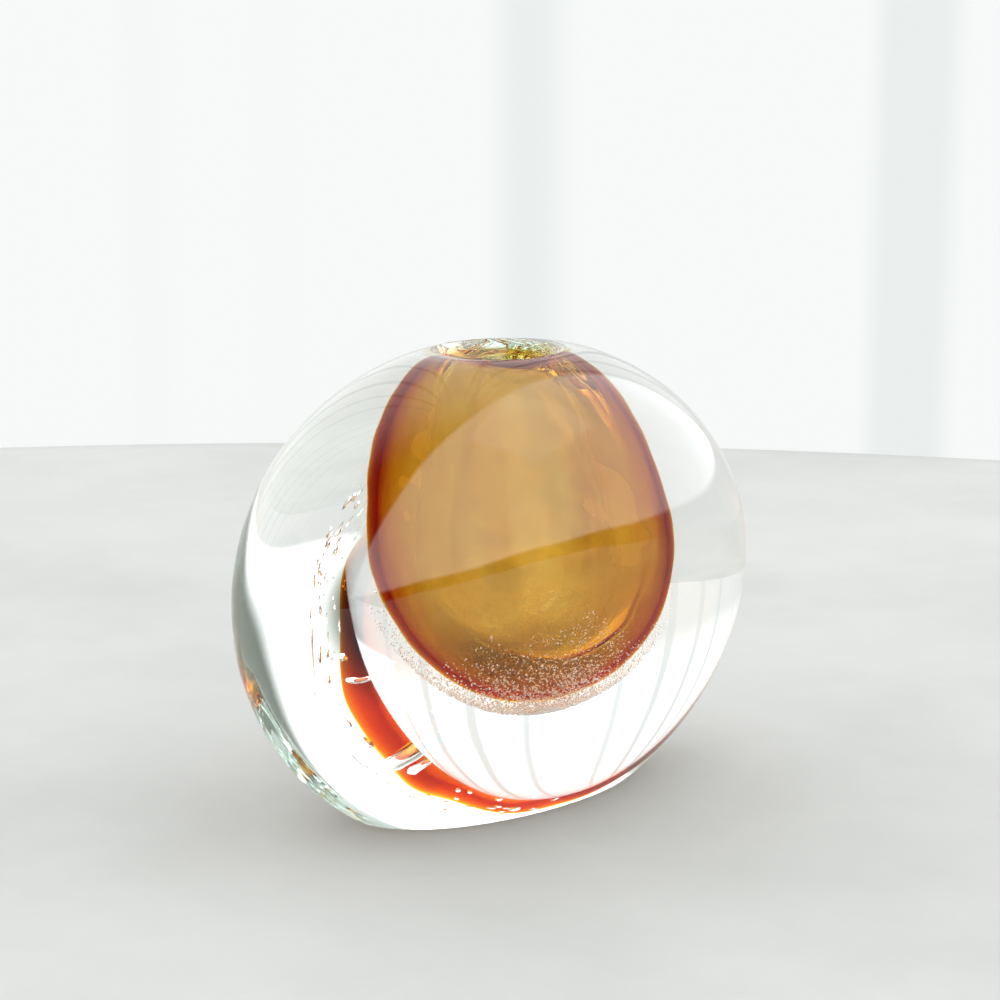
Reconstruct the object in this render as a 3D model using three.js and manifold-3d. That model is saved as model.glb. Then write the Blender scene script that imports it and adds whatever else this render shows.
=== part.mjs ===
// Glass bud vase: a flattened pebble of thick clear glass, cased over a small amber bottle whose belly
// wears a veil of seed bubbles. The layers were gathered one over the other, so each is a close-fitting
// shell of its own. Millimetres, +Z up. X runs along the width and Y through the thickness; the origin is
// the middle of the base.
import * as THREE from "three";
import { LoftGeometry } from "three/addons/geometries/LoftGeometry.js";
import { mergeVertices } from "three/addons/utils/BufferGeometryUtils.js";
import Module from "manifold-3d";

// Outer form.
const HEIGHT = 140; // ground base to the crest of the lip
const WIDTH = 180; // across the broad face
const DEPTH = 114; // front to back, at the level of the greatest width
const DEPTH_GAIN = 0.25; // how much fuller the thickness is towards the top, and slimmer towards the base
const BASE_LENGTH = 102; // the flat where the pebble is ground off
const BASE_BEVEL = 1.2; // arris taken off the edge of the ground flat
const LIP_ROUND = 2; // fire-polished rounding of the lip, inside and out
const LIP_WALL = 4; // clear glass between the mouth and the outer face, at the crest

// Air cavity.
const MOUTH_RADIUS = 17; // just under the rounding of the lip
const NECK_RADIUS = 12; // at the waist under the mouth
const NECK_DROP = 12; // from the crest down to the waist
const CAVITY_HALF_WIDTH = 37.3;
const CAVITY_HALF_DEPTH = 28;
const CAVITY_FLOOR = 45; // height of the lowest point of the cavity
const BOWL_RISE = 32; // from there up to its widest level
const CAVITY_LEAN = THREE.MathUtils.degToRad(1.7); // the bottle hangs a little off plumb, towards +X
const SHOULDER_POWER = 1.5; // the shoulder's outline: 1 is a cone's, 2 is an ellipsoid's
const NECK_BLEND = 8; // sharpness of the turn from shoulder to neck
const NECK_START = 0.3; // share of the way from belly to crest over which the neck takes hold
const SQUARE_UP_TO = 0.45; // share of that way up to which the layers lie square on the wall
const LEVEL_FROM = 0.75; // and from which their thickness is measured level

// Layers, from the cavity outwards.
const LINING_WALL = 2.5; // amber
const LINING_FLARE = 4; // how far the amber rolls outwards at its top edge
const LINING_FLARE_RISE = 2.5; // height over which it rolls out
const LIP_COVER = 3.5; // clear glass above the amber's top edge
const GATHER_WALL = 2.2; // first clear layer
const GATHER_DROP = 22; // from the crest down to where it thins out under the shoulder
const VEIL_WALL = 0.8; // sheet of seed bubbles
const VEIL_RISE = 25; // from the floor of the cavity up to the veil's ragged top edge
const LAYER_GAP = 0.3; // between one layer and the next
const RIM_GAP = 0.6; // over the top edge of a layer

// Facets.
const SIDES = 40;
const BODY_ROWS = 24;
const BOWL_ROWS = 8;
const SHOULDER_ROWS = 14;
const ROUNDING_ROWS = 3;
const CROWDED = 0.4; // share of a row's height within which a row next to the end is left out

const wasm = await Module();
wasm.setup();

const smooth = (x) => THREE.MathUtils.smoothstep(x, 0, 1);
const evenly = (from, to, count) =>
  Array.from({ length: count + 1 }, (_, i) => from + ((to - from) * i) / count);
const TURNS = evenly(0, 2 * Math.PI, SIDES).slice(0, SIDES);

// ---- Outer form: an ellipsoid, fuller above than below, ground off at the base and opened at the lip ----

// Half the thickness at a share of the rise: -1 is the foot of the whole ellipsoid and 1 its top.
const halfDepthAt = (share) => (DEPTH / 2) * (1 + DEPTH_GAIN * share) * Math.sqrt(1 - share * share);

// The share at which the form has narrowed to the lip, found by halving.
function lipShare() {
  let [low, high] = [DEPTH_GAIN, 1];
  while (high - low > 1e-7) {
    const middle = (low + high) / 2;
    if (halfDepthAt(middle) > MOUTH_RADIUS + LIP_WALL) low = middle;
    else high = middle;
  }
  return low;
}

const SHARE_AT_LIP = lipShare();
const SHARE_AT_BASE = -Math.sqrt(1 - (BASE_LENGTH / WIDTH) ** 2);
const HALF_RISE = HEIGHT / (SHARE_AT_LIP - SHARE_AT_BASE); // of the whole ellipsoid
const MIDDLE = -SHARE_AT_BASE * HALF_RISE; // height of the greatest width

// How far a quarter-round of the given radius has drawn in, at a distance from its end.
const roundedBy = (radius, distance) =>
  distance >= radius ? 0 : radius - Math.sqrt(radius * radius - (radius - distance) ** 2);

function bodySection(z) {
  const share = (z - MIDDLE) / HALF_RISE;
  const bevel = Math.max(0, BASE_BEVEL - z);
  const inset = bevel + roundedBy(LIP_ROUND, HEIGHT - z);
  const halfX = (WIDTH / 2) * Math.sqrt(1 - share * share) - inset;
  const halfY = halfDepthAt(share) - inset;
  return TURNS.map((turn) => new THREE.Vector3(halfX * Math.cos(turn), halfY * Math.sin(turn), z));
}

function bodyForm() {
  const crown = HEIGHT - LIP_ROUND;
  const turns = evenly(
    Math.asin((BASE_BEVEL - MIDDLE) / HALF_RISE),
    Math.asin((crown - MIDDLE) / HALF_RISE),
    BODY_ROWS,
  );
  const flanks = turns.map((turn) => MIDDLE + HALF_RISE * Math.sin(turn));
  const rounding = evenly(0, Math.PI / 2, ROUNDING_ROWS).slice(1);
  const heights = [0, ...flanks, ...rounding.map((turn) => crown + LIP_ROUND * Math.sin(turn))];
  return new LoftGeometry(heights.map(bodySection), { capStart: true, capEnd: true });
}

// ---- The cavity's wall, which every layer follows ----

const CAVITY_BELLY = CAVITY_FLOOR + BOWL_RISE; // height of its widest level
const SHOULDER_RISE = HEIGHT - CAVITY_BELLY;
const NECK_SHARE = 1 - (NECK_RADIUS / CAVITY_HALF_WIDTH) ** 2;
const DOME_RISE = (SHOULDER_RISE - NECK_DROP) / NECK_SHARE ** (1 / SHOULDER_POWER);

// A level is -1 at the floor of the cavity, 0 at its belly and 1 at the crest of the lip.
function levelAt(z) {
  if (z < CAVITY_BELLY) return Math.asin((z - CAVITY_BELLY) / BOWL_RISE) / (Math.PI / 2);
  return (z - CAVITY_BELLY) / SHOULDER_RISE;
}

function cavityHeight(level) {
  if (level < 0) return CAVITY_BELLY + BOWL_RISE * Math.sin((level * Math.PI) / 2);
  return CAVITY_BELLY + SHOULDER_RISE * level;
}

// The belly's half-sizes at a level, as a share of their greatest.
function fullnessAt(level) {
  if (level < 0) return Math.cos((level * Math.PI) / 2);
  return Math.sqrt(Math.max(0, 1 - ((level * SHOULDER_RISE) / DOME_RISE) ** SHOULDER_POWER));
}

// The round bore that opens from the waist to the mouth and fades out in the belly.
function boreAt(level) {
  if (level < 0) return 0;
  const opening = smooth(1 - ((1 - level) * SHOULDER_RISE) / NECK_DROP);
  return (NECK_RADIUS + (MOUTH_RADIUS - NECK_RADIUS) * opening) * smooth(level / NECK_START);
}

// A point of the air cavity's wall, at a turn about the axis and a level.
function wallPoint(turn, level) {
  const z = cavityHeight(level);
  const fullness = fullnessAt(level);
  const bore = boreAt(level);
  const join = (half) => ((half * fullness) ** NECK_BLEND + bore ** NECK_BLEND) ** (1 / NECK_BLEND);
  const flare = roundedBy(LIP_ROUND, HEIGHT - z);
  const centreX = (HEIGHT - z) * Math.tan(CAVITY_LEAN);
  return new THREE.Vector3(
    centreX + (join(CAVITY_HALF_WIDTH) + flare) * Math.cos(turn),
    (join(CAVITY_HALF_DEPTH) + flare) * Math.sin(turn),
    z,
  );
}

// The same point moved out of the air: square to the wall round the belly, and level at the neck, where the
// wall curls too tightly to be followed squarely.
function offsetPoint(turn, level, offset) {
  const step = 1e-3;
  if (level < step - 1) return wallPoint(turn, -1).add(new THREE.Vector3(0, 0, -offset));
  const along = wallPoint(turn + step, level).sub(wallPoint(turn - step, level));
  const up = wallPoint(turn, Math.min(1, level + step)).sub(wallPoint(turn, level - step));
  const outward = along.cross(up);
  outward.z *= 1 - smooth((level - SQUARE_UP_TO) / (LEVEL_FROM - SQUARE_UP_TO));
  return wallPoint(turn, level).addScaledVector(outward.normalize(), offset);
}

// Rings of the wall from the floor to a height, at an offset that may grow with the height.
function wallSections(top, offsetAt) {
  const end = levelAt(top);
  const rows = [...evenly(-1, 0, BOWL_ROWS), ...evenly(0, 1, SHOULDER_ROWS).slice(1)];
  const margin = CROWDED / SHOULDER_ROWS;
  const ring = (level) => TURNS.map((turn) => offsetPoint(turn, level, offsetAt(cavityHeight(level))));
  return [...rows.filter((level) => level < end - margin), end].map(ring);
}

// A cup between two offsets of the wall, and a plug of everything inside one offset.
function cup(top, innerAt, outerAt) {
  return new LoftGeometry([...wallSections(top, outerAt), ...wallSections(top, innerAt).reverse()]);
}

const plug = (top, offsetAt) => new LoftGeometry(wallSections(top, offsetAt), { capEnd: true });

// ---- The layers ----

const LINING_TOP = HEIGHT - LIP_COVER;
const GATHER_TOP = HEIGHT - GATHER_DROP;
const VEIL_TOP = CAVITY_FLOOR + VEIL_RISE;
const liningOutside = (z) =>
  LINING_WALL + LINING_FLARE * smooth((z - LINING_TOP + LINING_FLARE_RISE) / LINING_FLARE_RISE);
const gatherInside = () => LINING_WALL + LAYER_GAP;
const gatherOutside = () => gatherInside() + GATHER_WALL;
const veilInside = () => gatherOutside() + LAYER_GAP;
const veilOutside = () => veilInside() + VEIL_WALL;

// ---- Cuts ----

function toSolid(geometry) {
  const bare = new THREE.BufferGeometry();
  bare.setAttribute("position", geometry.getAttribute("position"));
  bare.setIndex(geometry.index);
  const merged = mergeVertices(bare, 1e-4);
  const vertProperties = merged.getAttribute("position").array;
  const triVerts = new Uint32Array(merged.index.array);
  return new wasm.Manifold(new wasm.Mesh({ numProp: 3, vertProperties, triVerts }));
}

function toGeometry(solid) {
  const mesh = solid.getMesh();
  const geometry = new THREE.BufferGeometry();
  geometry.setAttribute("position", new THREE.BufferAttribute(new Float32Array(mesh.vertProperties), 3));
  geometry.setIndex([...mesh.triVerts]);
  const faceted = geometry.toNonIndexed();
  faceted.computeVertexNormals();
  return faceted;
}

// The air of the cavity, carried on through the mouth.
function air() {
  const wall = wallSections(HEIGHT, () => 0);
  const above = wall.at(-1).map((point) => point.clone().setZ(HEIGHT + LIP_ROUND));
  return toSolid(new LoftGeometry([...wall, above], { capEnd: true }));
}

// Everything inside an offset of the wall, cut off level at a height.
function levelPlug(top, offsetAt) {
  const slab = new THREE.BoxGeometry(WIDTH, WIDTH, HEIGHT).translate(0, 0, top + HEIGHT / 2);
  return toSolid(plug(HEIGHT - LIP_ROUND, offsetAt)).subtract(toSolid(slab));
}

// The amber bottle: its top edge is level, so that the clear glass closes over it evenly.
const lining = () => levelPlug(LINING_TOP, liningOutside).subtract(air());

function casing() {
  return toSolid(bodyForm())
    .subtract(air())
    .subtract(levelPlug(LINING_TOP + RIM_GAP, (z) => liningOutside(z) + LAYER_GAP))
    .subtract(toSolid(plug(GATHER_TOP + RIM_GAP, () => gatherOutside() + LAYER_GAP)))
    .subtract(toSolid(plug(VEIL_TOP + RIM_GAP, () => veilOutside() + LAYER_GAP)));
}

// ---- Assembly ----

function glass(name, solid, color, opacity, roughness) {
  const look = { color, opacity, roughness, metalness: 0, transparent: true };
  const mesh = new THREE.Mesh(toGeometry(solid), new THREE.MeshStandardMaterial(look));
  mesh.name = name;
  return mesh;
}

const vase = new THREE.Group();
vase.name = "glass_bud_vase";
vase.add(
  glass("outer_casing", casing(), 0xeef3f0, 0.35, 0.03),
  glass("bubble_veil", toSolid(cup(VEIL_TOP, veilInside, veilOutside)), 0xf4f1ea, 0.5, 0.35),
  glass("inner_gather", toSolid(cup(GATHER_TOP, gatherInside, gatherOutside)), 0xf1efe6, 0.35, 0.03),
  glass("amber_lining", lining(), 0xb4702a, 0.7, 0.05),
);

export default vase;
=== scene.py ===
"""A cased-glass bud vase: a clear pebble over an amber bottle that wears a veil of seed bubbles.

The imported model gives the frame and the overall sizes. Every layer of glass is rebuilt here as a fine,
smooth surface in the same place: the clear pebble carries every face that meets air, and the amber bottle
and the clear gather lie inside it, so light bends only where the real, fused glass would bend it.
"""

from __future__ import annotations

import logging
import math
from dataclasses import dataclass, field
from enum import Enum
from functools import partial
from typing import Callable, Sequence

import bpy
import numpy as np
from mathutils import Matrix, Vector

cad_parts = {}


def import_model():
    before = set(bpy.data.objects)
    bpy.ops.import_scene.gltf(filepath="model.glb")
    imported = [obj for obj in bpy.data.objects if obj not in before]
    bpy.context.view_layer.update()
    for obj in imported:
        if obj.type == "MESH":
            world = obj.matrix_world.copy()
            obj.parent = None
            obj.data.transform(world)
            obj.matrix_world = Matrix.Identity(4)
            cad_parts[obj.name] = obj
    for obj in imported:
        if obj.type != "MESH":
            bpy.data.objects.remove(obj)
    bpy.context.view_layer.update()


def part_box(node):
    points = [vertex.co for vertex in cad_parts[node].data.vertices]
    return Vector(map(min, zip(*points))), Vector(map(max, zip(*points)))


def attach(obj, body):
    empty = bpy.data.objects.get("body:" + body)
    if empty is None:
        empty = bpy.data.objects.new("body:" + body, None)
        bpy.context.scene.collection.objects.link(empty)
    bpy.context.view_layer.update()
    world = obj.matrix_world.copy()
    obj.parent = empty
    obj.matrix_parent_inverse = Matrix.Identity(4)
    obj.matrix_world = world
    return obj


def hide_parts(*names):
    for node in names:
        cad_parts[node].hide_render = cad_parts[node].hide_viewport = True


LOG = logging.getLogger("bud_vase")
MM = 0.001
BODY = "root"
Colour = tuple[float, float, float]
Rings = list[np.ndarray]
Thickness = Callable[[np.ndarray], np.ndarray | float]


# ---------------------------------------------------------------- small helpers


def smoothstep(x: np.ndarray | float, low: float = 0.0, high: float = 1.0) -> np.ndarray:
    """An S-shaped ramp from 0 at low to 1 at high."""
    t = np.clip((np.asarray(x, float) - low) / (high - low), 0.0, 1.0)
    return t * t * (3.0 - 2.0 * t)


def quarter_round(radius: float, distance: np.ndarray | float) -> np.ndarray:
    """How far a quarter-round of that radius has drawn in, at a distance from its end."""
    gone = np.clip(radius - np.asarray(distance, float), 0.0, radius)
    return radius - np.sqrt(radius**2 - gone**2)


def even(distance: float) -> Thickness:
    """A thickness that is the same at every height.

    Args:
        distance: The thickness, in metres.

    Returns:
        A function that gives the thickness at any heights.
    """

    def at(z: np.ndarray) -> float:
        """The one thickness, whatever the heights."""
        return distance

    return at


@dataclass(frozen=True)
class Ripple:
    """A gentle hand-blown unevenness: a few sine waves that run in spread directions.

    Attributes:
        height: Greatest rise of the surface, in metres.
        length: Length of the longest wave, in metres.
        waves: How many waves are added up.
        phase: Shifts the pattern, so that two surfaces differ.
    """

    height: float
    length: float
    waves: int = 7
    phase: float = 0.0

    def at(self, points: np.ndarray) -> np.ndarray:
        """The rise at each point.

        Args:
            points: One row of x, y, z for each point.

        Returns:
            One height for each point, in metres.
        """
        total = np.zeros(len(points))
        for i in range(self.waves):
            tilt = math.acos(1.0 - 2.0 * (i + 0.5) / self.waves)
            turn = i * math.pi * (3.0 - math.sqrt(5.0)) + self.phase
            level = math.sin(tilt)
            heading = np.array([level * math.cos(turn), level * math.sin(turn), math.cos(tilt)])
            wave = self.length / (1.0 + 0.45 * i)
            total += np.sin(points @ heading * (2 * math.pi / wave) + 1.7 * i + self.phase) / (1.0 + 0.45 * i)
        return self.height * total / self.waves**0.5


def loft_mesh(name: str, rings: Sequence[np.ndarray]) -> bpy.types.Mesh:
    """A closed smooth mesh through rings of points, each end drawn together to one point.

    Args:
        name: The mesh's name.
        rings: Rings with equal numbers of points, counterclockwise as seen from the last one.

    Returns:
        The new mesh.
    """
    count = len(rings[0])
    points = np.concatenate([rings[0].mean(0)[None], *rings, rings[-1].mean(0)[None]])
    first, last = 0, len(points) - 1
    faces: list[tuple[int, ...]] = []
    for j in range(count):
        k = (j + 1) % count
        faces.append((first, 1 + k, 1 + j))
        for i in range(len(rings) - 1):
            low, high = 1 + i * count, 1 + (i + 1) * count
            faces.append((low + j, low + k, high + k, high + j))
        top = 1 + (len(rings) - 1) * count
        faces.append((top + j, top + k, last))
    mesh = bpy.data.meshes.new(name)
    mesh.from_pydata(points.tolist(), [], faces)
    mesh.polygons.foreach_set("use_smooth", [True] * len(mesh.polygons))
    mesh.update()
    return mesh


def new_piece(name: str, mesh: bpy.types.Mesh, node: str) -> bpy.types.Object:
    """Puts a mesh in the scene as a piece that stands for one node of the frame.

    Args:
        name: The piece's name.
        mesh: Its mesh.
        node: The node that it stands for.

    Returns:
        The new piece.
    """
    piece = bpy.data.objects.new(name, mesh)
    bpy.context.scene.collection.objects.link(piece)
    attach(piece, BODY)
    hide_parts(node)
    return piece


# ---------------------------------------------------------------- the vase's form


@dataclass
class PebbleForm:
    """The outer face: an ellipsoid, fuller above than below, ground off at the base and opened at the lip.

    Attributes:
        height: Base to crest of the lip.
        width: Across the broad face.
        depth: Front to back at the level of the greatest width.
        depth_gain: How much fuller the thickness is towards the top.
        base_length: Length of the ground flat.
        base_bevel: Arris round the ground flat.
        lip_round: Rounding of the lip.
        lip_wall: Glass between the mouth and the outer face at the crest.
        mouth_radius: Radius of the mouth under its rounding.
    """

    height: float
    width: float
    depth: float = 114 * MM
    depth_gain: float = 0.25
    base_length: float = 102 * MM
    base_bevel: float = 1.2 * MM
    lip_round: float = 2 * MM
    lip_wall: float = 4 * MM
    mouth_radius: float = 17 * MM
    top_share: float = field(init=False)
    foot_share: float = field(init=False)

    def __post_init__(self) -> None:
        """Finds the shares of the ellipsoid's rise at which the lip and the base lie."""
        low, high = self.depth_gain, 1.0
        while high - low > 1e-9:
            middle = (low + high) / 2
            wide = self._half_depth(middle) > self.mouth_radius + self.lip_wall
            low, high = (middle, high) if wide else (low, middle)
        self.top_share = low
        self.foot_share = -math.sqrt(1 - (self.base_length / self.width) ** 2)

    def _half_depth(self, share: float) -> float:
        """Half the thickness at a share of the rise."""
        return self.depth / 2 * (1 + self.depth_gain * share) * math.sqrt(1 - share * share)

    @property
    def half_rise(self) -> float:
        """Half the height of the whole ellipsoid."""
        return self.height / (self.top_share - self.foot_share)

    @property
    def middle(self) -> float:
        """Height of the greatest width."""
        return -self.foot_share * self.half_rise

    def section(self, z: float, turns: np.ndarray) -> np.ndarray:
        """The ring of the outer face at a height.

        Args:
            z: The height.
            turns: Angle of each point about the axis.

        Returns:
            One row of x, y, z for each point.
        """
        share = (z - self.middle) / self.half_rise
        inset = max(0.0, self.base_bevel - z) + float(quarter_round(self.lip_round, self.height - z))
        half_x = self.width / 2 * math.sqrt(1 - share * share) - inset
        half_y = self._half_depth(share) - inset
        return np.stack([half_x * np.cos(turns), half_y * np.sin(turns), np.full(len(turns), z)], -1)

    def rings(self, turns: np.ndarray, rows: int, round_rows: int = 8) -> Rings:
        """Rings from the ground flat up to the crest of the lip.

        Args:
            turns: Angle of each point about the axis.
            rows: How many rings the flank has.
            round_rows: How many rings the lip's rounding has.

        Returns:
            The rings, lowest first.
        """
        crown = self.height - self.lip_round
        angles = np.linspace(
            math.asin((self.base_bevel - self.middle) / self.half_rise),
            math.asin((crown - self.middle) / self.half_rise),
            rows,
        )
        flanks = [self.middle + self.half_rise * math.sin(a) for a in angles]
        rounding = [crown + self.lip_round * math.sin(a) for a in np.linspace(0, math.pi / 2, round_rows)[1:]]
        return [self.section(z, turns) for z in [0.0, *flanks, *rounding]]


@dataclass
class BottleForm:
    """The wall of the air cavity, which every inner layer follows at its own offset.

    A level is -1 at the cavity's floor, 0 at its belly and 1 at the crest of the lip.

    Attributes:
        crest: Height of the lip.
        floor: Height of the cavity's lowest point.
        half_width: Half the belly's width.
        half_depth: Half the belly's thickness.
        bowl_rise: From the floor up to the belly.
        mouth_radius: Radius of the mouth under its rounding.
        neck_radius: Radius of the waist under the mouth.
        neck_drop: From the crest down to the waist.
        lip_round: Rounding of the lip.
        lean: Lean of the bottle from plumb.
        shoulder_power: How full the shoulder is.
        neck_blend: How sharply the shoulder turns into the neck.
        neck_start: Level at which the round bore has its full size.
        square_up_to: Level up to which an offset is square to the wall.
        level_from: Level from which an offset is horizontal.
    """

    crest: float
    floor: float
    half_width: float
    half_depth: float
    bowl_rise: float = 32 * MM
    mouth_radius: float = 17 * MM
    neck_radius: float = 12 * MM
    neck_drop: float = 12 * MM
    lip_round: float = 2 * MM
    lean: float = math.radians(1.7)
    shoulder_power: float = 1.5
    neck_blend: float = 8.0
    neck_start: float = 0.3
    square_up_to: float = 0.45
    level_from: float = 0.75

    @property
    def belly(self) -> float:
        """Height of the widest level."""
        return self.floor + self.bowl_rise

    def level_at(self, z: float) -> float:
        """The level at a height.

        Args:
            z: The height, between the floor and the crest.

        Returns:
            The level.
        """
        if z < self.belly:
            return math.asin((z - self.belly) / (self.belly - self.floor)) / (math.pi / 2)
        return (z - self.belly) / (self.crest - self.belly)

    def height_at(self, level: np.ndarray) -> np.ndarray:
        """The height at each level."""
        bowl = self.belly + (self.belly - self.floor) * np.sin(np.minimum(level, 0) * math.pi / 2)
        return np.where(level < 0, bowl, self.belly + (self.crest - self.belly) * level)

    def _fullness(self, level: np.ndarray) -> np.ndarray:
        """How full the belly is at each level.

        Args:
            level: The levels.

        Returns:
            The belly's half-sizes as a share of their greatest.
        """
        rise = self.crest - self.belly
        neck_share = 1 - (self.neck_radius / self.half_width) ** 2
        dome = (rise - self.neck_drop) / neck_share ** (1 / self.shoulder_power)
        above = np.clip(1 - (np.maximum(level, 0) * rise / dome) ** self.shoulder_power, 0, 1)
        return np.where(level < 0, np.cos(level * math.pi / 2), np.sqrt(above))

    def _bore(self, level: np.ndarray) -> np.ndarray:
        """The round bore that opens from the waist to the mouth and fades out in the belly.

        Args:
            level: The levels.

        Returns:
            The bore's radius at each level.
        """
        opening = smoothstep(1 - (1 - level) * (self.crest - self.belly) / self.neck_drop)
        radius = self.neck_radius + (self.mouth_radius - self.neck_radius) * opening
        return radius * smoothstep(level / self.neck_start)

    def wall(self, turn: np.ndarray, level: np.ndarray) -> np.ndarray:
        """Points of the cavity's wall.

        Args:
            turn: Angle of each point about the axis.
            level: Level of each point.

        Returns:
            One row of x, y, z for each point.
        """
        level = np.clip(level, -1.0, 1.0)
        z = self.height_at(level)
        fullness, bore = self._fullness(level), self._bore(level)
        power = self.neck_blend
        half_x = ((self.half_width * fullness) ** power + bore**power) ** (1 / power)
        half_y = ((self.half_depth * fullness) ** power + bore**power) ** (1 / power)
        flare = quarter_round(self.lip_round, self.crest - z)
        centre = (self.crest - z) * math.tan(self.lean)
        return np.stack([centre + (half_x + flare) * np.cos(turn), (half_y + flare) * np.sin(turn), z], -1)

    def offset(self, turn: np.ndarray, level: np.ndarray, distance: np.ndarray | float) -> np.ndarray:
        """Points moved out of the air: square to the wall round the belly, and level at the neck.

        Args:
            turn: Angle of each point about the axis.
            level: Level of each point.
            distance: How far each point is moved.

        Returns:
            The moved points.
        """
        step = 1e-3
        along = self.wall(turn + step, level) - self.wall(turn - step, level)
        up = self.wall(turn, level + step) - self.wall(turn, level - step)
        outward = np.cross(along, up)
        outward[:, 2] *= 1 - smoothstep(level, self.square_up_to, self.level_from)
        length = np.linalg.norm(outward, axis=1)
        pole = length < 1e-14
        outward[pole] = (0, 0, -1)
        outward /= np.where(pole, 1, length)[:, None]
        return self.wall(turn, level) + outward * np.broadcast_to(distance, level.shape)[:, None]

    def rings(self, turns: np.ndarray, top: float, rows: int, thickness: Thickness) -> Rings:
        """Rings at an offset of the wall, from just above its lowest point up to a height.

        Args:
            turns: Angle of each point about the axis.
            top: Height of the wall at the last ring.
            rows: How many levels the wall is divided into.
            thickness: The offset at each height.

        Returns:
            The rings, lowest first.
        """
        end = self.level_at(top)
        levels = np.linspace(-1, end, rows)[1:]
        rings = []
        for level in levels:
            each = np.full(len(turns), level)
            rings.append(self.offset(turns, each, thickness(self.height_at(each))))
        return rings


@dataclass
class Layers:
    """Where each layer of glass begins and ends, as an offset of the cavity's wall.

    Attributes:
        lining_wall: Thickness of the amber.
        lining_flare: How far the amber's top edge is rolled outwards.
        lining_flare_rise: Height of that roll.
        lip_cover: Clear glass between the amber's top edge and the crest.
        gather_wall: Thickness of the first clear gather.
        gather_drop: From the crest down to the gather's top edge.
        veil_wall: Thickness of the layer that holds the seed bubbles.
        veil_rise: From the cavity's floor up to the highest bubbles.
        gap: Gap between one layer and the next.
    """

    lining_wall: float = 2.5 * MM
    lining_flare: float = 4 * MM
    lining_flare_rise: float = 2.5 * MM
    lip_cover: float = 3.5 * MM
    gather_wall: float = 2.2 * MM
    gather_drop: float = 22 * MM
    veil_wall: float = 0.8 * MM
    veil_rise: float = 25 * MM
    gap: float = 0.3 * MM

    def lining_outside(self, z: np.ndarray, crest: float) -> np.ndarray:
        """The amber's thickness at each height: even, but rolled outwards at its top edge."""
        top = crest - self.lip_cover
        return self.lining_wall + self.lining_flare * smoothstep(z, top - self.lining_flare_rise, top)

    @property
    def gather_inside(self) -> float:
        """Offset at which the clear gather begins."""
        return self.lining_wall + self.gap

    @property
    def gather_outside(self) -> float:
        """Offset at which the clear gather ends."""
        return self.gather_inside + self.gather_wall

    @property
    def veil_inside(self) -> float:
        """Offset at which the bubble veil begins."""
        return self.gather_outside + self.gap


# ---------------------------------------------------------------- node work


class Nodes:
    """A thin wrapper that adds nodes to a tree and links them in one call."""

    def __init__(self, tree: bpy.types.NodeTree) -> None:
        """Keeps the tree."""
        self.tree = tree

    def add(
        self, kind: str, inputs: dict[str | int, object] | None = None, **settings: object
    ) -> bpy.types.Node:
        """Adds one node.

        Args:
            kind: The node's type name.
            inputs: A value or an output socket for each input, by name or place.
            settings: Attributes to set on the node.

        Returns:
            The new node.
        """
        node = self.tree.nodes.new(kind)
        for name, value in settings.items():
            setattr(node, name, value)
        for name, value in (inputs or {}).items():
            if isinstance(value, bpy.types.NodeSocket):
                self.tree.links.new(value, node.inputs[name])
            else:
                node.inputs[name].default_value = value
        return node

    def maths(self, operation: str, *values: object) -> bpy.types.NodeSocket:
        """The result of a Math node."""
        node = self.add("ShaderNodeMath", dict(enumerate(values)), operation=operation)
        return node.outputs[0]

    def ramp(
        self, value: object, low: float, high: float, to_low: float = 0.0, to_high: float = 1.0
    ) -> bpy.types.NodeSocket:
        """A smooth ramp of a value between two ends."""
        inputs = {"Value": value, "From Min": low, "From Max": high, "To Min": to_low, "To Max": to_high}
        return self.add("ShaderNodeMapRange", inputs, interpolation_type="SMOOTHSTEP").outputs["Result"]

    def mix(self, factor: object, first: object, second: object) -> bpy.types.NodeSocket:
        """One colour turning into another."""
        node = self.add("ShaderNodeMix", {0: factor, 6: first, 7: second}, data_type="RGBA")
        return node.outputs[2]


class Effect(Enum):
    """The shared surface effects."""

    BLOWN_WAVE = "blown_wave"
    CORD_STREAKS = "cord_streaks"
    HANDLING_SMUDGE = "handling_smudge"


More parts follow.
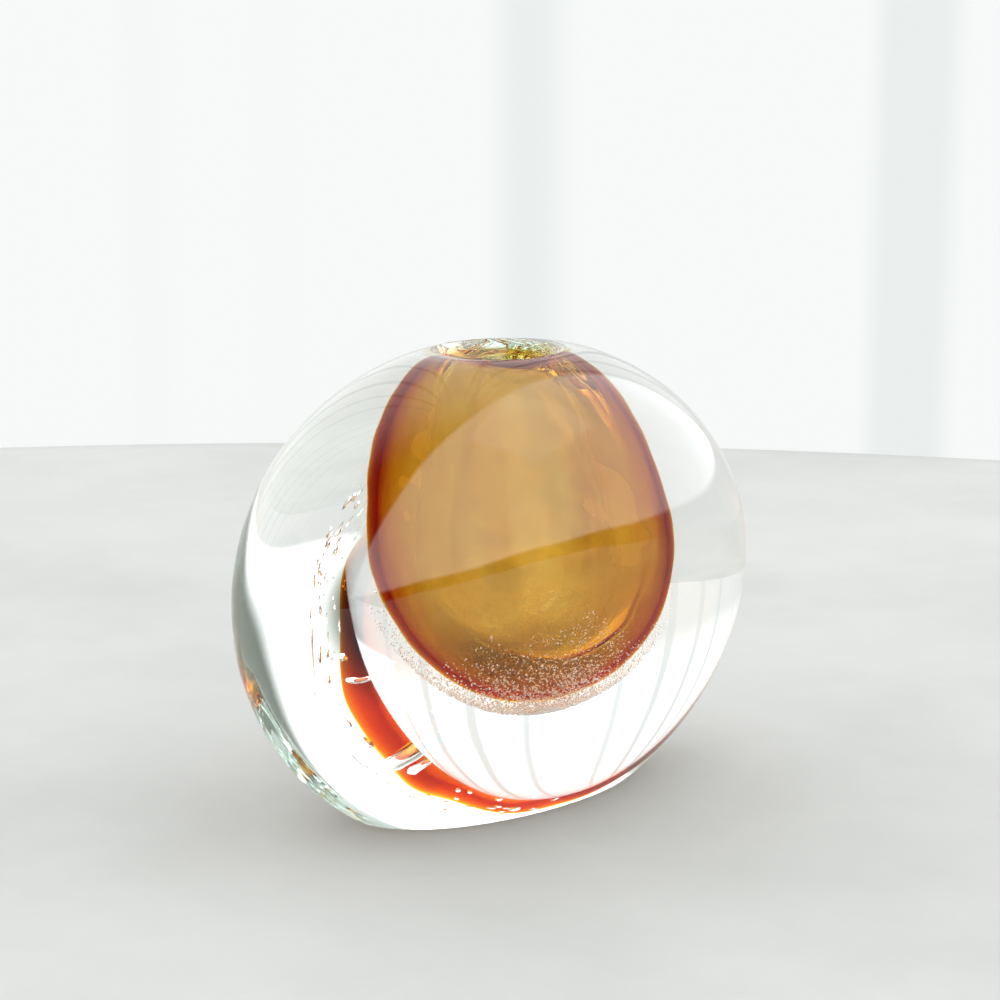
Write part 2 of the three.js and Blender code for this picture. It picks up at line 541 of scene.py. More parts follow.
class EffectLibrary:
    """Builds each shared effect once, as a shader node group."""

    def __init__(self) -> None:
        """Starts with no group built."""
        self._built: dict[Effect, bpy.types.NodeTree] = {}
        self._makers = {
            Effect.BLOWN_WAVE: self._blown_wave,
            Effect.CORD_STREAKS: self._cord_streaks,
            Effect.HANDLING_SMUDGE: self._handling_smudge,
        }

    def place(self, nodes: Nodes, effect: Effect, **values: float) -> bpy.types.Node:
        """Places an effect in a material with its own values.

        Args:
            nodes: The material's nodes.
            effect: Which effect.
            values: A value for each of the group's inputs, with _ for a space.

        Returns:
            The group node.
        """
        if effect not in self._built:
            self._built[effect] = self._makers[effect]()
        node = nodes.add("ShaderNodeGroup", node_tree=self._built[effect])
        for name, value in values.items():
            node.inputs[name.replace("_", " ").title()].default_value = value
        return node

    @staticmethod
    def _begin(
        effect: Effect, inputs: dict[str, float], output: str
    ) -> tuple[Nodes, bpy.types.NodeOutputs, bpy.types.NodeSocket]:
        """Starts a group with its sockets.

        Args:
            effect: The effect that the group makes.
            inputs: The name and the usual value of each input.
            output: The name of its one output.

        Returns:
            The group's nodes, its inputs and the object's own coordinates.
        """
        tree = bpy.data.node_groups.new(effect.value, "ShaderNodeTree")
        for name, value in inputs.items():
            socket = tree.interface.new_socket(name, in_out="INPUT", socket_type="NodeSocketFloat")
            socket.default_value = value
        tree.interface.new_socket(output, in_out="OUTPUT", socket_type="NodeSocketFloat")
        nodes = Nodes(tree)
        given = nodes.add("NodeGroupInput").outputs
        place = nodes.add("ShaderNodeTexCoord").outputs["Object"]
        return nodes, given, place

    def _blown_wave(self) -> bpy.types.NodeTree:
        """A slow swell of the surface, as a height.

        Returns:
            The group.
        """
        nodes, given, place = self._begin(Effect.BLOWN_WAVE, {"Scale": 30.0, "Swell": 1.0}, "Height")
        slow = nodes.add("ShaderNodeTexNoise", {"Vector": place, "Scale": given["Scale"], "Detail": 1.0})
        height = nodes.maths("MULTIPLY", slow.outputs[0], given["Swell"])
        nodes.add("NodeGroupOutput", {0: height})
        return nodes.tree

    def _cord_streaks(self) -> bpy.types.NodeTree:
        """Long cords that the gathering draws down the glass, as a mask.

        Returns:
            The group.
        """
        nodes, given, place = self._begin(
            Effect.CORD_STREAKS, {"Scale": 60.0, "Stretch": 0.3, "Start": 0.5, "End": 0.7}, "Mask"
        )
        drawn = nodes.add("ShaderNodeCombineXYZ", {0: 1.0, 1: 1.0, 2: given["Stretch"]})
        spread = nodes.add("ShaderNodeVectorMath", {0: place, 1: drawn.outputs[0]}, operation="MULTIPLY")
        noise = nodes.add(
            "ShaderNodeTexNoise",
            {"Vector": spread.outputs[0], "Scale": given["Scale"], "Detail": 3.0, "Distortion": 0.7},
        )
        inputs = {"Value": noise.outputs[0], "From Min": given["Start"], "From Max": given["End"]}
        mask = nodes.add("ShaderNodeMapRange", inputs, interpolation_type="SMOOTHSTEP")
        nodes.add("NodeGroupOutput", {0: mask.outputs["Result"]})
        return nodes.tree

    def _handling_smudge(self) -> bpy.types.NodeTree:
        """Faint patches where the glass has been handled, as a mask.

        Returns:
            The group.
        """
        nodes, given, place = self._begin(Effect.HANDLING_SMUDGE, {"Scale": 45.0, "Amount": 1.0}, "Mask")
        noise = nodes.add(
            "ShaderNodeTexNoise", {"Vector": place, "Scale": given["Scale"], "Detail": 5.0, "Roughness": 0.65}
        )
        patches = nodes.ramp(noise.outputs[0], 0.52, 0.74)
        nodes.add("NodeGroupOutput", {0: nodes.maths("MULTIPLY", patches, given["Amount"])})
        return nodes.tree


EFFECTS = EffectLibrary()


@dataclass(frozen=True)
class GlassFinish:
    """A clear or tinted glass.

    Attributes:
        name: The material's name.
        ior: Index of refraction against what lies on the other side of its faces.
        absorb_colour: The colour that the glass lets through.
        absorb_density: How strongly it absorbs the rest, for each metre.
        face_tints: The two colours that the faces vary between.
        roughness: Roughness of a clean face and of a smudged one.
        streak_scale: Scale of the tint's streaks.
        streak_stretch: How much the streaks are drawn out upwards; smaller is longer.
        streak_range: Where the streaks begin and end in the noise.
        tint_heights: Heights between which the faces' tint comes in; below them the faces are untinted.
        swell: Height of the slow swell, in metres; none at 0.
    """

    name: str
    ior: float
    absorb_colour: Colour
    absorb_density: float
    face_tints: tuple[Colour, Colour]
    roughness: tuple[float, float] = (0.0, 0.02)
    streak_scale: float = 60.0
    streak_stretch: float = 0.3
    streak_range: tuple[float, float] = (0.5, 0.7)
    tint_heights: tuple[float, float] = (-0.02, -0.01)
    swell: float = 0.0

    def make(self) -> bpy.types.Material:
        """The finish as a material.

        Returns:
            The new material, made of nodes.
        """
        material = bpy.data.materials.new(self.name)
        material.use_nodes = True
        tree = material.node_tree
        nodes = Nodes(tree)
        shader, output = tree.nodes["Principled BSDF"], tree.nodes["Material Output"]
        shader.inputs["IOR"].default_value = self.ior
        shader.inputs["Metallic"].default_value = 0.0
        shader.inputs["Transmission Weight"].default_value = 1.0
        low, high = self.streak_range
        drawn = {"scale": self.streak_scale, "stretch": self.streak_stretch, "start": low, "end": high}
        streaks = EFFECTS.place(nodes, Effect.CORD_STREAKS, **drawn)
        plain, streaked = ((*tint, 1.0) for tint in self.face_tints)
        place = nodes.add("ShaderNodeTexCoord").outputs["Object"]
        rise = nodes.add("ShaderNodeSeparateXYZ", {0: place}).outputs["Z"]
        full = nodes.ramp(rise, *self.tint_heights)
        tinted = nodes.mix(streaks.outputs[0], plain, streaked)
        tree.links.new(nodes.mix(full, (1.0, 1.0, 1.0, 1.0), tinted), shader.inputs["Base Color"])
        smudge = EFFECTS.place(nodes, Effect.HANDLING_SMUDGE, scale=38.0, amount=1.0)
        clean, smudged = self.roughness
        rough = nodes.maths("MULTIPLY_ADD", smudge.outputs[0], smudged - clean, clean)
        tree.links.new(rough, shader.inputs["Roughness"])
        if self.swell:
            wave = EFFECTS.place(nodes, Effect.BLOWN_WAVE, scale=26.0, swell=1.0)
            raised = {"Height": wave.outputs[0], "Distance": self.swell, "Strength": 1.0}
            bump = nodes.add("ShaderNodeBump", raised)
            tree.links.new(bump.outputs[0], shader.inputs["Normal"])
        if self.absorb_density:
            volume = nodes.add(
                "ShaderNodeVolumeAbsorption",
                {"Color": (*self.absorb_colour, 1.0), "Density": self.absorb_density},
            )
            tree.links.new(volume.outputs[0], output.inputs["Volume"])
        return material


CASING_GLASS = GlassFinish(
    name="clear_casing_glass",
    ior=1.52,
    absorb_colour=(0.72, 0.9, 0.82),
    absorb_density=0.8,
    face_tints=((1.0, 1.0, 1.0), (0.985, 0.995, 0.99)),
    roughness=(0.0, 0.012),
    streak_stretch=0.6,
)
GATHER_GLASS = GlassFinish(
    name="clear_gather_glass",
    ior=1.0,
    absorb_colour=(0.9, 0.86, 0.7),
    absorb_density=6.0,
    face_tints=((1.0, 1.0, 1.0), (0.985, 0.985, 0.97)),
    roughness=(0.0, 0.0),
)
AMBER_GLASS = GlassFinish(
    name="amber_glass",
    ior=1.0,
    absorb_colour=(0.918, 0.71, 0.01),
    absorb_density=760.0,
    face_tints=((0.935, 0.945, 0.96), (0.86, 0.81, 0.78)),
    roughness=(0.0, 0.0),
    streak_scale=42.0,
    streak_stretch=0.22,
    streak_range=(0.5, 0.66),
    # The faces' grey tint comes in between 52 and 82 mm up; below that the amber's faces are untinted.
    tint_heights=(0.052, 0.082),
)
BUBBLE_GLASS = GlassFinish(
    name="seed_bubble_sheet",
    ior=1.52,
    absorb_colour=(1.0, 1.0, 1.0),
    absorb_density=0.0,
    face_tints=((1.0, 1.0, 1.0), (0.97, 0.97, 0.96)),
    roughness=(0.0, 0.05),
)


# ---------------------------------------------------------------- the pieces


@dataclass
class ClearPebble:
    """The clear casing with all its faces to the air: flanks, base, lip and the inside of the cavity.

    Attributes:
        pebble: Its outer form.
        bottle: The form of its cavity.
        columns: Points in each ring.
        outer_rows: Rings on the flank.
        inner_rows: Rings in the cavity.
        lip_crown: How far the lip is crowned.
        skin_ripple: Unevenness of the outer face.
        wall_ripple: Unevenness of the cavity's wall.
    """

    pebble: PebbleForm
    bottle: BottleForm
    columns: int = 224
    outer_rows: int = 120
    inner_rows: int = 120
    lip_crown: float = 0.25 * MM
    skin_ripple: Ripple = Ripple(height=0.10 * MM, length=62 * MM)
    wall_ripple: Ripple = Ripple(height=0.28 * MM, length=30 * MM, phase=2.1)

    def build(self) -> bpy.types.Object:
        """Lofts the skin up to the lip and down the cavity, and adds the hand-blown unevenness.

        Returns:
            The piece.
        """
        turns = np.linspace(0, 2 * math.pi, self.columns, endpoint=False)
        skin = [self._uneven(ring, self.skin_ripple) for ring in self.pebble.rings(turns, self.outer_rows)]
        inside = self.bottle.rings(turns, self.pebble.height, self.inner_rows, even(0.0))
        inside = [self._uneven(ring, self.wall_ripple) for ring in reversed(inside)]
        mesh = loft_mesh("clear_pebble", [*skin, *self._lip(skin[-1], inside[0]), *inside])
        return new_piece("clear_pebble", mesh, "outer_casing")

    def _uneven(self, ring: np.ndarray, ripple: Ripple) -> np.ndarray:
        """A ring with the ripple, which dies out at the ground flat and at the lip.

        Args:
            ring: The even ring.
            ripple: The unevenness.

        Returns:
            The uneven ring.
        """
        z, height = ring[:, 2], self.pebble.height
        fade = smoothstep(z, 1 * MM, 14 * MM) * (1 - smoothstep(z, height - 16 * MM, height - 3 * MM))
        centre = ring.mean(0)
        outward = ring - centre
        outward[:, 2] = 0
        outward /= np.maximum(np.linalg.norm(outward, axis=1), 1e-6)[:, None]
        return ring + outward * (ripple.at(ring) * fade)[:, None]

    def _lip(self, outer: np.ndarray, inner: np.ndarray, rows: int = 6) -> Rings:
        """The crest between the outer rounding and the mouth, very slightly crowned.

        Args:
            outer: The last ring of the skin.
            inner: The first ring of the mouth.
            rows: How many rings lie between them.

        Returns:
            The rings, outermost first.
        """
        shares = np.linspace(0, 1, rows + 2)[1:-1]
        rings = []
        for share in shares:
            ring = outer * (1 - share) + inner * share
            ring[:, 2] += self.lip_crown * (1 - (2 * share - 1) ** 2)
            rings.append(ring)
        return rings

    def dress(self, piece: bpy.types.Object) -> None:
        """Gives the casing its clear glass."""
        piece.data.materials.append(CASING_GLASS.make())


@dataclass
class GlassCoat:
    """A cup-shaped coat of glass between two offsets of the cavity's wall.

    Attributes:
        name: The piece's name.
        node: The node that it stands for.
        slot: Name of a material slot; not used.
        bottle: The form that it follows.
        top: Height of its top edge.
        inside: Offset of its inner face at each height.
        outside: Offset of its outer face at each height.
        finish: Its glass.
        level_top: Whether its top edge is cut off level.
        columns: Points in each ring.
        rows: Rings on each face.
        ripple: Slow unevenness of the outer face.
        fine_ripple: Short unevenness of the outer face.
    """

    name: str
    node: str
    slot: str
    bottle: BottleForm
    top: float
    inside: Thickness
    outside: Thickness
    finish: GlassFinish
    level_top: bool = False
    columns: int = 160
    rows: int = 130
    ripple: Ripple = Ripple(height=0.35 * MM, length=26 * MM, phase=0.8)
    fine_ripple: Ripple = Ripple(height=0.12 * MM, length=7 * MM, phase=1.9)

    def build(self) -> bpy.types.Object:
        """Lofts the outside up to the rim and the inside down again.

        Returns:
            The piece.
        """
        turns = np.linspace(0, 2 * math.pi, self.columns, endpoint=False)
        outer = self.bottle.rings(turns, self.top, self.rows, self._thickened)
        inner = self.bottle.rings(turns, self.top, self.rows, self.inside)
        if self.level_top:
            for ring in outer:
                ring[:, 2] = np.minimum(ring[:, 2], self.top)
        mesh = loft_mesh(self.name, [*outer, (outer[-1] + inner[-1]) / 2, *reversed(inner)])
        return new_piece(self.name, mesh, self.node)

    def _thickened(self, z: np.ndarray) -> np.ndarray:
        """The outer offset with its unevenness round the wall.

        Args:
            z: The height of each point of a ring.

        Returns:
            The offset of each point.
        """
        turns = np.linspace(0, 2 * math.pi, len(z), endpoint=False)
        right, away = self.bottle.half_width * np.cos(turns), self.bottle.half_depth * np.sin(turns)
        across = np.stack([right, away, z], -1)
        return self.outside(z) + self.ripple.at(across) + self.fine_ripple.at(across)

    def dress(self, piece: bpy.types.Object) -> None:
        """Gives the coat its glass."""
        piece.data.materials.append(self.finish.make())


@dataclass
class SeedBubbles:
    """The veil of seed bubbles: thousands of small hollows of air, crowded at the foot of the bottle.

    Attributes:
        bottle: The form that the veil follows.
        veil_inside: Offset at which the veil begins.
        veil_wall: Thickness of the veil.
        top: Height of the highest bubbles.
        seeds: How many small bubbles.
        bubbles: How many larger, rounder ones.
        seed_radii: Smallest and largest radius of the small ones.
        bubble_radii: Smallest and largest radius of the larger ones.
        crowding: How strongly they crowd at the foot.
        front_bias: How much rarer they are at the back than at the front.
        seed: Start of the random draws.
    """

    bottle: BottleForm
    veil_inside: float
    veil_wall: float
    top: float
    seeds: int = 8300
    bubbles: int = 380
    seed_radii: tuple[float, float] = (0.14 * MM, 0.30 * MM)
    bubble_radii: tuple[float, float] = (0.22 * MM, 0.42 * MM)
    crowding: float = 1.8
    front_bias: float = 0.6
    seed: int = 11

    def build(self) -> bpy.types.Object:
        """Scatters the bubbles over the veil and joins them into one mesh.

        Returns:
            The piece.
        """
        rng = np.random.default_rng(self.seed)
        seeds = self._swarm(rng, self.seeds, self.seed_radii, 0)
        bubbles = self._swarm(rng, self.bubbles, self.bubble_radii, 1)
        points = np.concatenate([seeds[0], bubbles[0]])
        faces = np.concatenate([seeds[1], bubbles[1] + len(seeds[0])])
        mesh = bpy.data.meshes.new("seed_bubbles")
        mesh.from_pydata(points.tolist(), [], faces.tolist())
        mesh.polygons.foreach_set("use_smooth", [True] * len(mesh.polygons))
        mesh.update()
        return new_piece("seed_bubbles", mesh, "bubble_veil")

    def _swarm(
        self, rng: np.random.Generator, count: int, radii: tuple[float, float], splits: int
    ) -> tuple[np.ndarray, np.ndarray]:
        """Bubbles of one kind.

        Args:
            rng: The source of chance.
            count: How many bubbles.
            radii: The smallest and the largest radius; most are small.
            splits: How many times each hollow's faces are divided.

        Returns:
            The bubbles' points and faces.
        """
        shell, faces = self._hollow(splits)
        turn, level = self._places(rng, count)
        small, large = radii
        radius = small + (large - small) * rng.beta(1.3, 3.0, count)
        depth = self.veil_inside + self.veil_wall * rng.random(count)
        centres = self.bottle.offset(turn, level, depth)
        along = self.bottle.offset(turn + 1e-3, level, depth) - centres
        along /= np.linalg.norm(along, axis=1)[:, None]
        stretch = rng.uniform(0.0, 0.35, count)
        points = shell[None] * radius[:, None, None]
        points = points + along[:, None] * (points @ along[..., None]) * stretch[:, None, None]
        points = (points + centres[:, None]).reshape(-1, 3)
        shift = (np.arange(count) * len(shell))[:, None, None]
        return points, (faces[None] + shift).reshape(-1, 3)

    def _places(self, rng: np.random.Generator, count: int) -> tuple[np.ndarray, np.ndarray]:
        """Places for bubbles, thicker on the ground the lower they lie, with a ragged top edge.

        Args:
            rng: The source of chance.
            count: How many bubbles.

        Returns:
            The turn and the level of each bubble.
        """
        end = self.bottle.level_at(self.top)
        turns: list[float] = []
        levels: list[float] = []
        while len(turns) < count:
            turn, share = rng.uniform(0, 2 * math.pi), rng.random()
            level = -1 + (1 + end) * share
            ragged = 0.86 + 0.1 * math.sin(3 * turn + 0.6) + 0.06 * math.sin(7 * turn)
            ragged += 0.04 * math.sin(16 * turn + 2)
            room = math.cos(level * math.pi / 2) * (1 - self.front_bias * (1 + math.sin(turn)) / 2)
            crowd = max(0.0, 1 - share / ragged) ** self.crowding + 0.05 * (share < ragged)
            if rng.random() < room * crowd * 1.6:
                turns.append(turn)
                levels.append(level)
        return np.array(turns), np.array(levels)

    @staticmethod
    def _hollow(splits: int) -> tuple[np.ndarray, np.ndarray]:
        """A small ball whose faces look inwards, because the glass lies outside it.

        Args:
            splits: How many times each face is divided in four.

        Returns:
            The ball's points and faces.
        """
        golden = (1 + math.sqrt(5)) / 2
        corners = [(-1, golden, 0), (1, golden, 0), (-1, -golden, 0), (1, -golden, 0)]
        points = [np.roll(corner, shift) for shift in range(3) for corner in corners]
        points = [np.array(p, float) / np.linalg.norm(p) for p in points]
        edge = min(np.linalg.norm(points[0] - p) for p in points[1:]) * 1.01
        count = len(points)

        def near(a: int, b: int) -> bool:
            """Whether two corners share an edge."""
            return np.linalg.norm(points[a] - points[b]) < edge

        faces = [
            (a, b, c)
            for a in range(count)
            for b in range(a + 1, count)
            for c in range(b + 1, count)
            if near(a, b) and near(b, c) and near(a, c)
        ]
        middles: dict[tuple[int, int], int] = {}

        def middle(a: int, b: int) -> int:
            """The point half-way between two corners, made once.

            Args:
                a: One corner.
                b: The other corner.

            Returns:
                The place of the point in the list.
            """
            key = (min(a, b), max(a, b))
            if key not in middles:
                point = points[a] + points[b]
                points.append(point / np.linalg.norm(point))
                middles[key] = len(points) - 1
            return middles[key]

        for _ in range(splits):
            finer = []
            for a, b, c in faces:
                ab, bc, ca = middle(a, b), middle(b, c), middle(c, a)
                finer += [(a, ab, ca), (b, bc, ab), (c, ca, bc), (ab, bc, ca)]
            faces = finer
        shell = np.array(points)
        inward = []
        for a, b, c in faces:
            facing = np.cross(shell[b] - shell[a], shell[c] - shell[a]) @ (shell[a] + shell[b] + shell[c])
            inward.append((a, c, b) if facing > 0 else (a, b, c))
        return shell, np.array(inward)

    def dress(self, piece: bpy.types.Object) -> None:
        """Gives the bubbles the glass that surrounds them."""
        piece.data.materials.append(BUBBLE_GLASS.make())


# ---------------------------------------------------------------- the studio


@dataclass(frozen=True)
class Viewpoint:
    """Where the camera stands.

    Attributes:
        azimuth: Turn about the vase from the front.
        distance: Distance from the vase's axis, level.
        height: Height above the table.
        dip: How far it looks down.
        aside: How far it stands to the right of the axis.
        lens: Focal length, in millimetres.
        sensor: Width of the sensor, in millimetres.
    """

    azimuth: float = math.radians(-38.5)
    distance: float = 0.7754
    height: float = 0.272
    dip: float = math.radians(12.97)
    aside: float = 0.7 * MM
    lens: float = 93.6
    sensor: float = 36.0

    @property
    def turn(self) -> Matrix:
        """Turns right, away and up, as the camera sees them, into the frame's axes."""
        return Matrix.Rotation(self.azimuth, 3, "Z")

    def place(self, right: float, away: float, up: float) -> Vector:
        """A point given by how far it lies to the right of the vase, away from the camera and up."""
        return self.turn @ Vector((right, away, up))

    def make_camera(self) -> bpy.types.Object:
        """Makes the camera and sets it as the scene's own.

        Returns:
            The camera.
        """
        data = bpy.data.cameras.new("studio_camera")
        data.sensor_width, data.lens = self.sensor, self.lens
        data.clip_start, data.clip_end = 0.01, 20.0
        camera = bpy.data.objects.new("studio_camera", data)
        camera.location = self.place(self.aside, -self.distance, self.height)
        heading = self.turn @ Vector((0, math.cos(self.dip), -math.sin(self.dip)))
        camera.rotation_euler = heading.to_track_quat("-Z", "Y").to_euler()
        bpy.context.scene.collection.objects.link(camera)
        bpy.context.scene.camera = camera
        return camera


@dataclass(frozen=True)
class SoftPanel:
    """A soft light panel.

    Attributes:
        name: The lamp's name.
        place: Right, away and up from the foot of the vase, in metres.
        aim: The point that it faces, given the same way.
        size: Width and height.
        brightness: Brightness of its face.
        colour: Its light's colour.
    """

    name: str
    place: tuple[float, float, float]
    aim: tuple[float, float, float]
    size: tuple[float, float]
    brightness: float
    colour: Colour = (1.0, 1.0, 1.0)

    def make(self, view: Viewpoint) -> bpy.types.Object:
        """Makes the lamp, unseen by the camera itself.

        Args:
            view: Where the camera stands.

        Returns:
            The lamp.
        """
        data = bpy.data.lights.new(self.name, "AREA")
        data.shape = "RECTANGLE"
        data.size, data.size_y = self.size
        data.energy = self.brightness * math.pi * self.size[0] * self.size[1]
        data.color = self.colour
        lamp = bpy.data.objects.new(self.name, data)
        lamp.location = view.place(*self.place)
        heading = view.place(*self.aim) - lamp.location
        lamp.rotation_euler = heading.to_track_quat("-Z", "Y").to_euler()
        lamp.visible_camera = False
        bpy.context.scene.collection.objects.link(lamp)
        return lamp


@dataclass
class Studio:
    """A plain pale table, a soft bright room round it and the lamps.

    Attributes:
        view: Where the camera stands.
        table_radius: Radius of the round table.
        table_centre: Its centre, right and away from the foot of the vase.
        table_drop: How far its top lies below the ground flat.
        table_tones: The two tones of its top.
        room: The cloth behind, where it is flat.
        fold: Its folds at eye level.
        high_fold: Its folds overhead.
        fold_rates: How fast the broad and the narrow folds follow each other round the room.
        soft_fill: Light that reaches the table past the vase.
        glass_shadow: Light that reaches the table through the vase.
        near_room: Walls behind the camera, seen through the glass or straight.
        near_shade: The same walls mirrored in the glass.
        under_table: What lies below the table's edge.
        sky_gain: How much brighter the cloth is overhead.
        window_facing: Direction of the middle of the wide window.
        window_light: Brightness of the window.
        screen: Bearing, height, half-width and half-height of a dark folding screen at the right.
        screen_colour: Colour of the screen.
        panels: The lamps.
    """

    view: Viewpoint = Viewpoint()
    table_radius: float = 1.25
    table_centre: tuple[float, float] = (-0.076, -0.706)
    table_drop: float = 0.1 * MM
    table_tones: tuple[Colour, Colour] = ((0.765, 0.785, 0.765), (0.68, 0.70, 0.68))
    room: Colour = (0.93, 0.95, 0.94)
    fold: Colour = (0.83, 0.87, 0.86)
    high_fold: Colour = (0.56, 0.62, 0.62)
    fold_rates: tuple[float, float] = (46.0, 83.0)
    soft_fill: Colour = (1.0, 1.0, 1.0)
    glass_shadow: Colour = (0.84, 0.84, 0.82)
    near_room: Colour = (0.86, 0.87, 0.86)
    near_shade: Colour = (0.07, 0.07, 0.07)
    under_table: Colour = (0.16, 0.18, 0.15)
    sky_gain: float = 1.5
    window_facing: tuple[float, float, float] = (0.906, -0.419, -0.061)
    window_light: Colour = (2.7, 2.75, 2.8)
    screen: tuple[float, float, float, float] = (2.025, 0.29, 0.41, 0.24)
    screen_colour: Colour = (0.16, 0.19, 0.15)
    panels: tuple[SoftPanel, ...] = (
        SoftPanel("overhead_panel", (0.45, -0.1, 1.0), (0.0, 0.0, 0.0), (0.6, 0.6), 0.6),
    )

    def build(self) -> None:
        """Makes the camera, the table, the lamps and the room."""
        self.view.make_camera()
        self._table()
        for panel in self.panels:
            panel.make(self.view)
        self._room()
        paths = bpy.context.scene.cycles
        paths.max_bounces, paths.transmission_bounces, paths.glossy_bounces = 200, 200, 64
        paths.diffuse_bounces, paths.transparent_max_bounces = 4, 16
        bpy.context.scene.view_settings.view_transform = "Standard"

    def _table(self) -> None:
        """A thin round slab with a softened edge."""
        turns = np.linspace(0, 2 * math.pi, 256, endpoint=False)
        centre = self.view.place(*self.table_centre, 0.0)
        top = [(0.2, 0.0), (0.6, 0.0), (0.98, 0.0), (0.999, -0.001)]
        edge = [(1.0, -0.004), (0.999, -0.02), (0.2, -0.02)]
        rings = []
        for share, z in reversed([*top, *edge]):
            ring = np.stack([np.cos(turns), np.sin(turns), np.zeros(256)], -1) * self.table_radius * share
            ring[:, 2] = z - self.table_drop
            rings.append(ring + np.array([centre.x, centre.y, 0.0]))
        table = bpy.data.objects.new("plain_table", loft_mesh("plain_table", rings))
        bpy.context.scene.collection.objects.link(table)
        table.data.materials.append(self._table_finish())

    def _table_finish(self) -> bpy.types.Material:
        """A pale honed surface with a faint cloudiness.

        Returns:
            The material.
        """
        material = bpy.data.materials.new("pale_table")
        material.use_nodes = True
        nodes = Nodes(material.node_tree)
        shader = material.node_tree.nodes["Principled BSDF"]
        place = nodes.add("ShaderNodeTexCoord").outputs["Object"]
        drift = {"Vector": place, "Scale": 5.0, "Detail": 6.0, "Roughness": 0.6}
        cloud = nodes.add("ShaderNodeTexNoise", drift)
        pale, cloudy = ((*tone, 1.0) for tone in self.table_tones)
        colour = nodes.mix(nodes.ramp(cloud.outputs[0], 0.35, 0.7), pale, cloudy)
        material.node_tree.links.new(colour, shader.inputs["Base Color"])
        fine = nodes.add("ShaderNodeTexNoise", {"Vector": place, "Scale": 60.0, "Detail": 4.0})
        rough = nodes.ramp(fine.outputs[0], 0.3, 0.7, 0.7, 0.85)
        shader.inputs["Specular IOR Level"].default_value = 0.12
        material.node_tree.links.new(rough, shader.inputs["Roughness"])
        return material

    def _room(self) -> None:
        """The room round the vase, as the world's light from each direction."""
        world = bpy.data.worlds.new("soft_room")
        bpy.context.scene.world = world
        world.use_nodes = True
        nodes = Nodes(world.node_tree)
        background = world.node_tree.nodes["Background"]
        direction = nodes.add("ShaderNodeTexCoord").outputs["Generated"]
        turn = {"Vector": direction, "Rotation": (0.0, 0.0, -self.view.azimuth)}
        toward = nodes.add("ShaderNodeMapping", turn, vector_type="POINT").outputs[0]
        axes = nodes.add("ShaderNodeSeparateXYZ", {0: toward}).outputs
        bearing = nodes.maths("ARCTAN2", axes["X"], axes["Y"])
        ray = nodes.add("ShaderNodeLightPath").outputs
        walls = self._walls(nodes, axes, bearing, ray)
        unseen = nodes.maths("SUBTRACT", 1.0, ray["Is Camera Ray"])
        pane = nodes.maths("MULTIPLY", self._window(nodes, toward, axes), unseen)
        lit = nodes.mix(pane, walls, (*self.window_light, 1.0))
        screen = nodes.maths("MULTIPLY", self._screen(nodes, axes, bearing), ray["Is Transmission Ray"])
        upper = nodes.mix(screen, lit, (*self.screen_colour, 1.0))
        seen = nodes.mix(nodes.ramp(axes["Z"], -0.36, -0.26), (*self.under_table, 1.0), upper)
        direct = nodes.maths("MAXIMUM", ray["Is Camera Ray"], ray["Is Glossy Ray"])
        direct = nodes.maths("MAXIMUM", direct, ray["Is Transmission Ray"])
        first = nodes.maths("LESS_THAN", ray["Diffuse Depth"], 0.5)
        onto_table = nodes.mix(ray["Is Transmission Ray"], (*self.soft_fill, 1.0), (*self.glass_shadow, 1.0))
        light = nodes.mix(nodes.maths("MULTIPLY", direct, first), onto_table, seen)
        world.node_tree.links.new(light, background.inputs["Color"])

    def _walls(
        self,
        nodes: Nodes,
        axes: bpy.types.NodeOutputs,
        bearing: bpy.types.NodeSocket,
        ray: bpy.types.NodeOutputs,
    ) -> bpy.types.NodeSocket:
        """Soft upright folds of cloth behind the vase, and paler walls in front of it.

        Args:
            nodes: The world's nodes.
            axes: The direction's parts to the right, away and up.
            bearing: Its bearing from straight behind, to the right.
            ray: The light path's outputs.

        Returns:
            The colour in each direction.
        """
        broad_rate, narrow_rate = self.fold_rates
        broad = nodes.maths("SINE", nodes.maths("MULTIPLY_ADD", bearing, broad_rate, 0.4))
        narrow = nodes.maths("SINE", nodes.maths("MULTIPLY_ADD", bearing, narrow_rate, 1.3))
        folds = nodes.ramp(nodes.maths("MULTIPLY_ADD", narrow, 0.6, broad), 0.5, 1.4)
        overhead = nodes.ramp(axes["Z"], 0.0, 0.15)
        fold = nodes.mix(overhead, (*self.fold, 1.0), (*self.high_fold, 1.0))
        cloth = nodes.mix(folds, (*self.room, 1.0), fold)
        lift = nodes.maths("MULTIPLY_ADD", overhead, self.sky_gain - 1.0, 1.0)
        lifted = nodes.add("ShaderNodeVectorMath", {0: cloth, "Scale": lift}, operation="SCALE")
        straight = nodes.maths("SUBTRACT", 1.0, ray["Is Transmission Ray"])
        mirrored = nodes.maths("MULTIPLY", ray["Is Glossy Ray"], straight)
        near = nodes.mix(mirrored, (*self.near_room, 1.0), (*self.near_shade, 1.0))
        return nodes.mix(nodes.ramp(axes["Y"], -0.35, 0.35), near, lifted.outputs[0])

    def _window(
        self, nodes: Nodes, toward: bpy.types.NodeSocket, axes: bpy.types.NodeOutputs
    ) -> bpy.types.NodeSocket:
        """The wide window, which takes up one side of the room above the table.

        Args:
            nodes: The world's nodes.
            toward: The direction.
            axes: Its parts to the right, away and up.

        Returns:
            A mask that is 1 in the window.
        """
        facing = nodes.add(
            "ShaderNodeVectorMath", {0: toward, 1: self.window_facing}, operation="DOT_PRODUCT"
        )
        within = nodes.ramp(facing.outputs["Value"], -0.01, 0.04)
        return nodes.maths("MULTIPLY", within, nodes.ramp(axes["Z"], 0.02, 0.06))

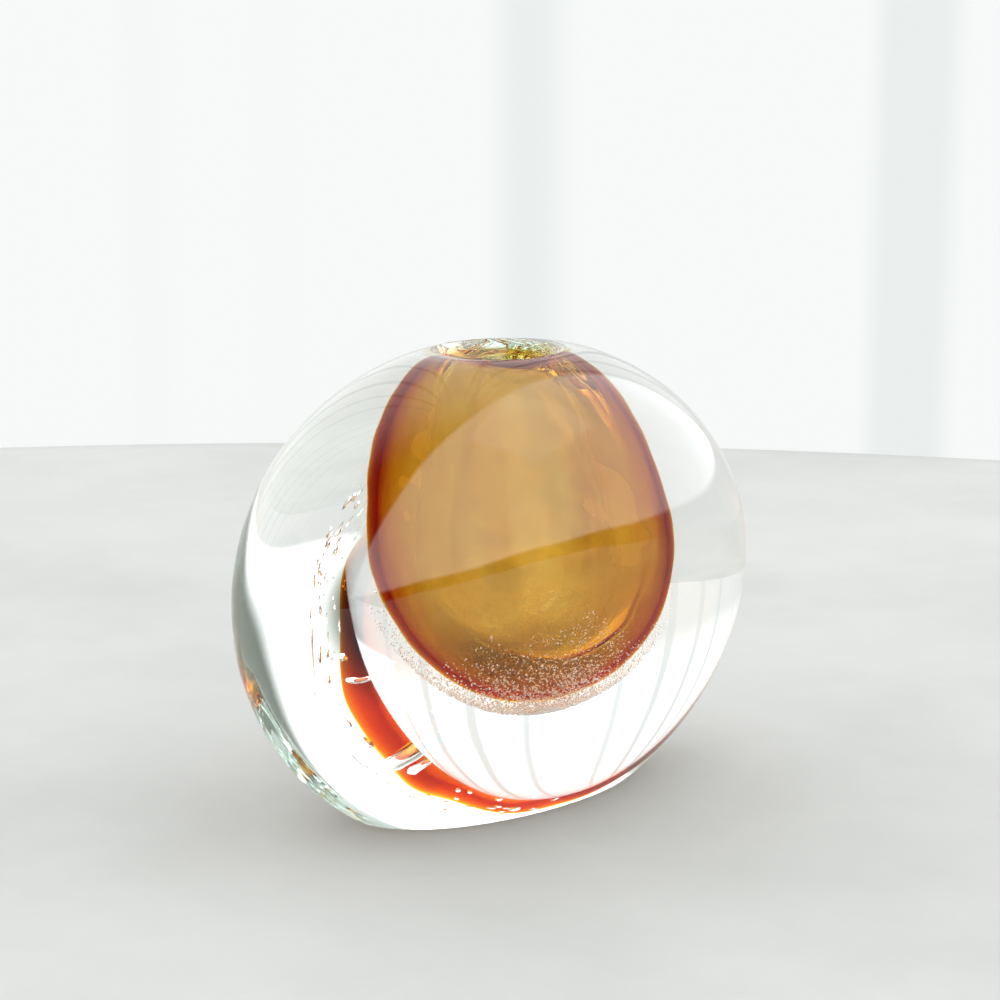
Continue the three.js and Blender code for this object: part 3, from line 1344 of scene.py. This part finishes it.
    def _screen(
        self, nodes: Nodes, axes: bpy.types.NodeOutputs, bearing: bpy.types.NodeSocket
    ) -> bpy.types.NodeSocket:
        """The dark screen, a soft-edged oval.

        Args:
            nodes: The world's nodes.
            axes: The direction's parts to the right, away and up.
            bearing: Its bearing from straight behind, to the right.

        Returns:
            A mask that is 1 in the screen.
        """
        bearing_at, height_at, half_wide, half_high = self.screen
        aside = nodes.maths("DIVIDE", nodes.maths("SUBTRACT", bearing, bearing_at), half_wide)
        above = nodes.maths("DIVIDE", nodes.maths("SUBTRACT", axes["Z"], height_at), half_high)
        squares = (nodes.maths("MULTIPLY", side, side) for side in (aside, above))
        return nodes.ramp(nodes.maths("ADD", *squares), 1.5, 0.6)


# ---------------------------------------------------------------- the whole vase


@dataclass
class BudVase:
    """The vase, sized from the frame.

    Attributes:
        layers: Where each layer of glass begins and ends.
        half_width: Half the cavity's width.
        half_depth: Half the cavity's thickness.
        amber_face: Offset at which the amber's inner face lies, clear of the cavity's own wall.
    """

    layers: Layers = field(default_factory=Layers)
    half_width: float = 37.3 * MM
    half_depth: float = 28 * MM
    amber_face: float = 0.45 * MM

    def __post_init__(self) -> None:
        """Reads the overall sizes from the frame."""
        low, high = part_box("outer_casing")
        self.pebble = PebbleForm(height=high.z - low.z, width=round(high.x - low.x, 3))
        inner_low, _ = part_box("amber_lining")
        self.bottle = BottleForm(
            crest=self.pebble.height,
            floor=inner_low.z + self.layers.lining_wall,
            half_width=self.half_width,
            half_depth=self.half_depth,
        )

    def parts(self) -> list[ClearPebble | GlassCoat | SeedBubbles]:
        """Lists the pieces, the clear pebble first.

        Returns:
            The pieces, ready to build.
        """
        layers, crest = self.layers, self.pebble.height
        highest_bubble = self.bottle.floor + layers.veil_rise
        gather = GlassCoat(
            name="clear_gather",
            node="inner_gather",
            slot="clear_gather_glass",
            bottle=self.bottle,
            top=crest - layers.gather_drop,
            inside=even(layers.gather_inside),
            outside=even(layers.gather_outside),
            finish=GATHER_GLASS,
            ripple=Ripple(height=0.1 * MM, length=40 * MM),
        )
        amber = GlassCoat(
            name="amber_bottle",
            node="amber_lining",
            slot="amber_glass",
            bottle=self.bottle,
            top=crest - layers.lip_cover,
            inside=even(self.amber_face),
            outside=partial(layers.lining_outside, crest=crest),
            finish=AMBER_GLASS,
            level_top=True,
        )
        return [
            ClearPebble(self.pebble, self.bottle),
            SeedBubbles(self.bottle, layers.veil_inside, layers.veil_wall, highest_bubble),
            gather,
            amber,
        ]


def write_sizes() -> None:
    """Defines a helper that turns a box into plain lists of numbers, and writes nothing.
    """

    def plain(box: Sequence[Sequence[float]]) -> list[list[float]]:
        """A box as plain lists of numbers."""
        return [[float(value) for value in corner] for corner in box]


def main() -> None:
    """Builds the vase and its studio."""
    logging.basicConfig(level=logging.INFO, format="%(name)s: %(message)s")
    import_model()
    for part in BudVase().parts():
        piece = part.build()
        part.dress(piece)
        LOG.info("%s: %d faces", piece.name, len(piece.data.polygons))
    Studio().build()
    write_sizes()


if __name__ == "__main__":
    main()
